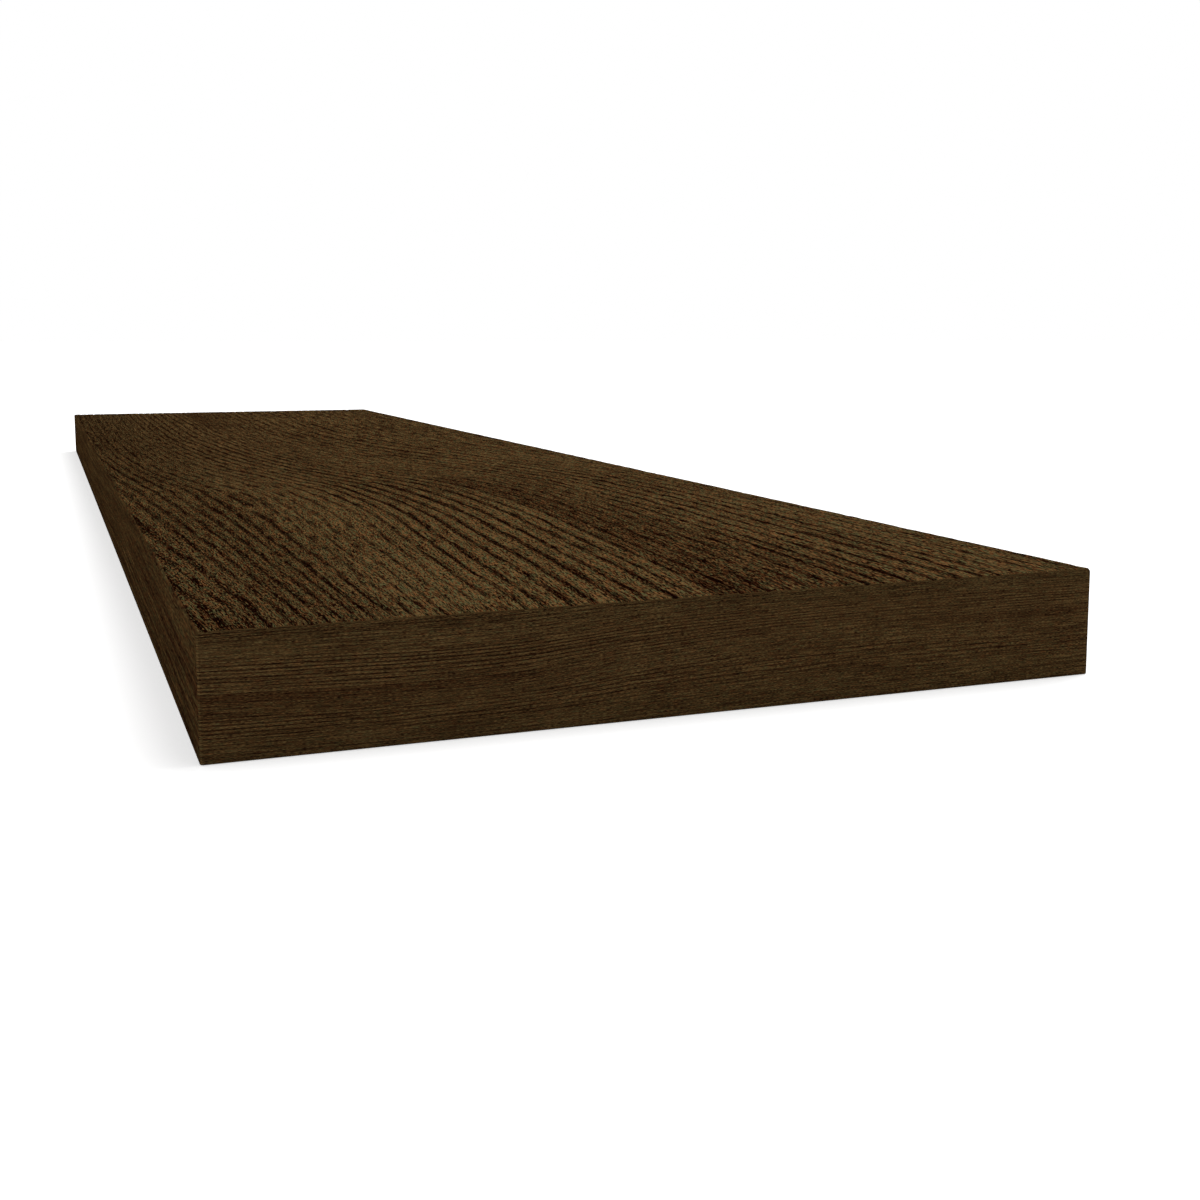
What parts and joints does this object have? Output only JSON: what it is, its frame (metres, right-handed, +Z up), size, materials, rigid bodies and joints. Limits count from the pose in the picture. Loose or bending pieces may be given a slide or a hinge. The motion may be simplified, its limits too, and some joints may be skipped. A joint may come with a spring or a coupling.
{
  "type": "retrofit stair tread",
  "caption": "Dark stained wood stair tread that laps over an old tread: a thin board with a deep nosing along its front and a matching return over its open right end.",
  "frame": {"origin": "middle of the tread's plan, level with the foot of the nosing and of the return", "axes": "+X along the stair's width towards the returned end, +Y from the nosing towards the riser behind, +Z up"},
  "size_m": [1.2192, 0.3048, 0.0381],
  "materials": {
    "stained_oak": "brushed grain, dark brown stain, matt lacquer"
  },
  "bodies": {
    "root": {"stair_tread": "stained_oak"}
  },
  "joints": []
}
